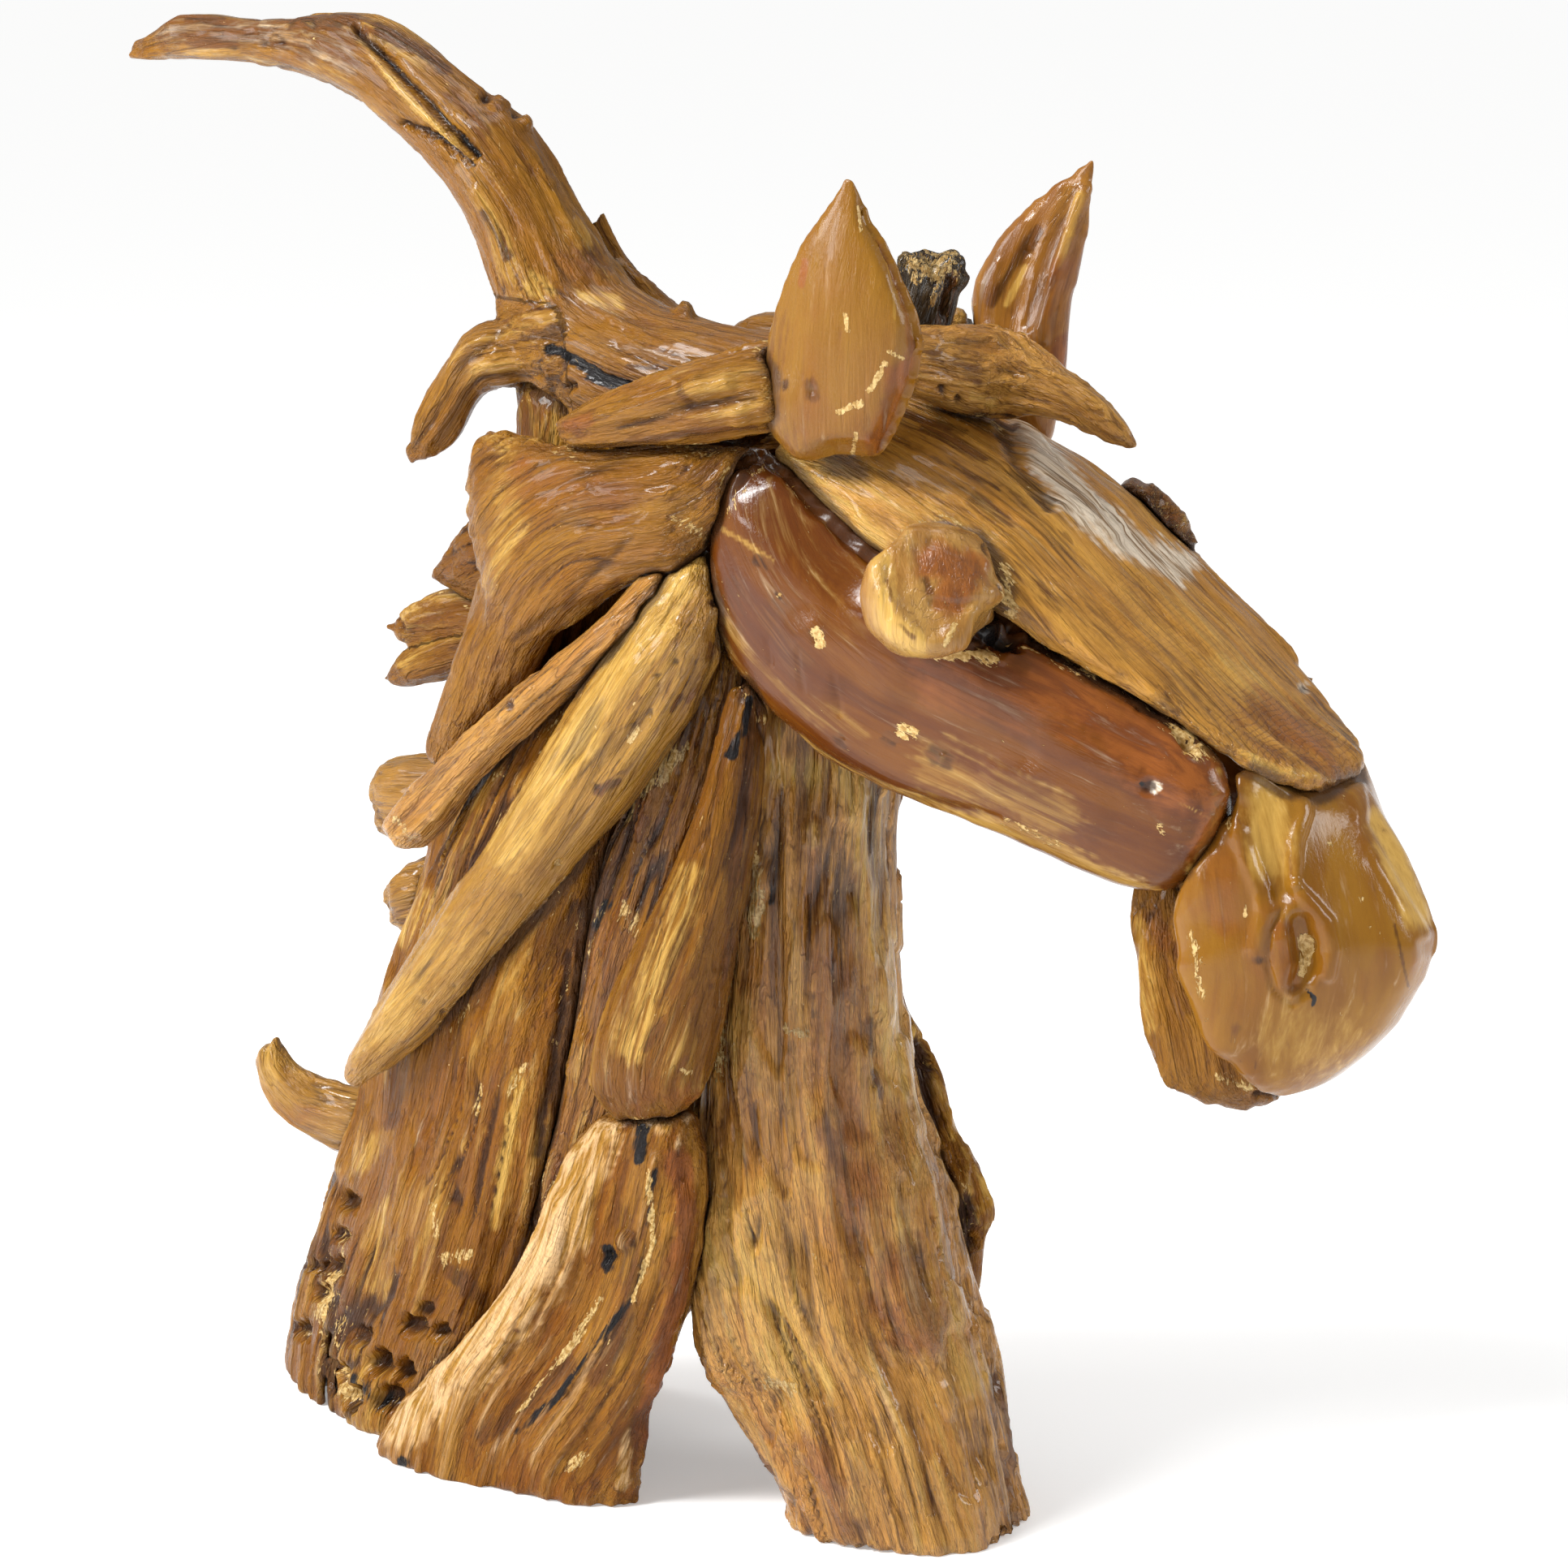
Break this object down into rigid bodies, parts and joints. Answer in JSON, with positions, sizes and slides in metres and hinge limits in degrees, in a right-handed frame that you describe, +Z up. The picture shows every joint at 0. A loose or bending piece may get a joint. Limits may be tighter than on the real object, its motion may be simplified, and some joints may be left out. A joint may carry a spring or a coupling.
{
  "type": "driftwood horse head sculpture",
  "caption": "Horse's head and neck put together from driftwood roots and carved teak, with a long root sweeping back as a crest, standing on the foot of its neck.",
  "frame": {"origin": "on the ground, under the middle of the bounding box", "axes": "+X the way the horse faces, +Y to the horse's left, +Z up"},
  "size_m": [0.9528, 0.2904, 0.9151],
  "materials": {
    "raw_teak": "raw weathered root, thin lacquer",
    "dark_root": "dark root with ripped grain, thin lacquer",
    "polished_teak": "sanded and polished, red-brown",
    "honey_teak": "sanded and polished, honey",
    "burnt_wood": "charred black"
  },
  "bodies": {
    "root": {"neck_post": "dark_root", "nape_root": "raw_teak", "face_board": "raw_teak", "muzzle": "honey_teak", "cheek_right": "polished_teak", "cheek_left": "polished_teak", "chin": "raw_teak", "crest_root": "raw_teak", "crest_root_left": "raw_teak", "ear_right": "honey_teak", "ear_left": "honey_teak", "eye_right": "raw_teak", "eye_left": "raw_teak", "forelock_root": "raw_teak", "poll_knob": "burnt_wood", "neck_plate_right": "raw_teak", "neck_plate_left": "raw_teak", "back_slab_right": "raw_teak", "back_slab_left": "raw_teak", "neck_plank_right": "dark_root", "root_foot_right": "raw_teak", "root_foot_left": "raw_teak", "mane_lock_right": "raw_teak", "mane_lock_left": "raw_teak", "mane_strand_long_right": "raw_teak", "mane_strand_long_left": "raw_teak", "mane_strand_slim_right": "dark_root", "mane_strand_slim_left": "dark_root", "temple_lock_right": "raw_teak", "temple_lock_left": "raw_teak", "back_spur_right": "raw_teak", "back_horns": "raw_teak", "back_block_upper": "raw_teak", "back_block_lower": "raw_teak", "tail_hook": "raw_teak", "throat_root_left": "raw_teak"}
  },
  "joints": []
}
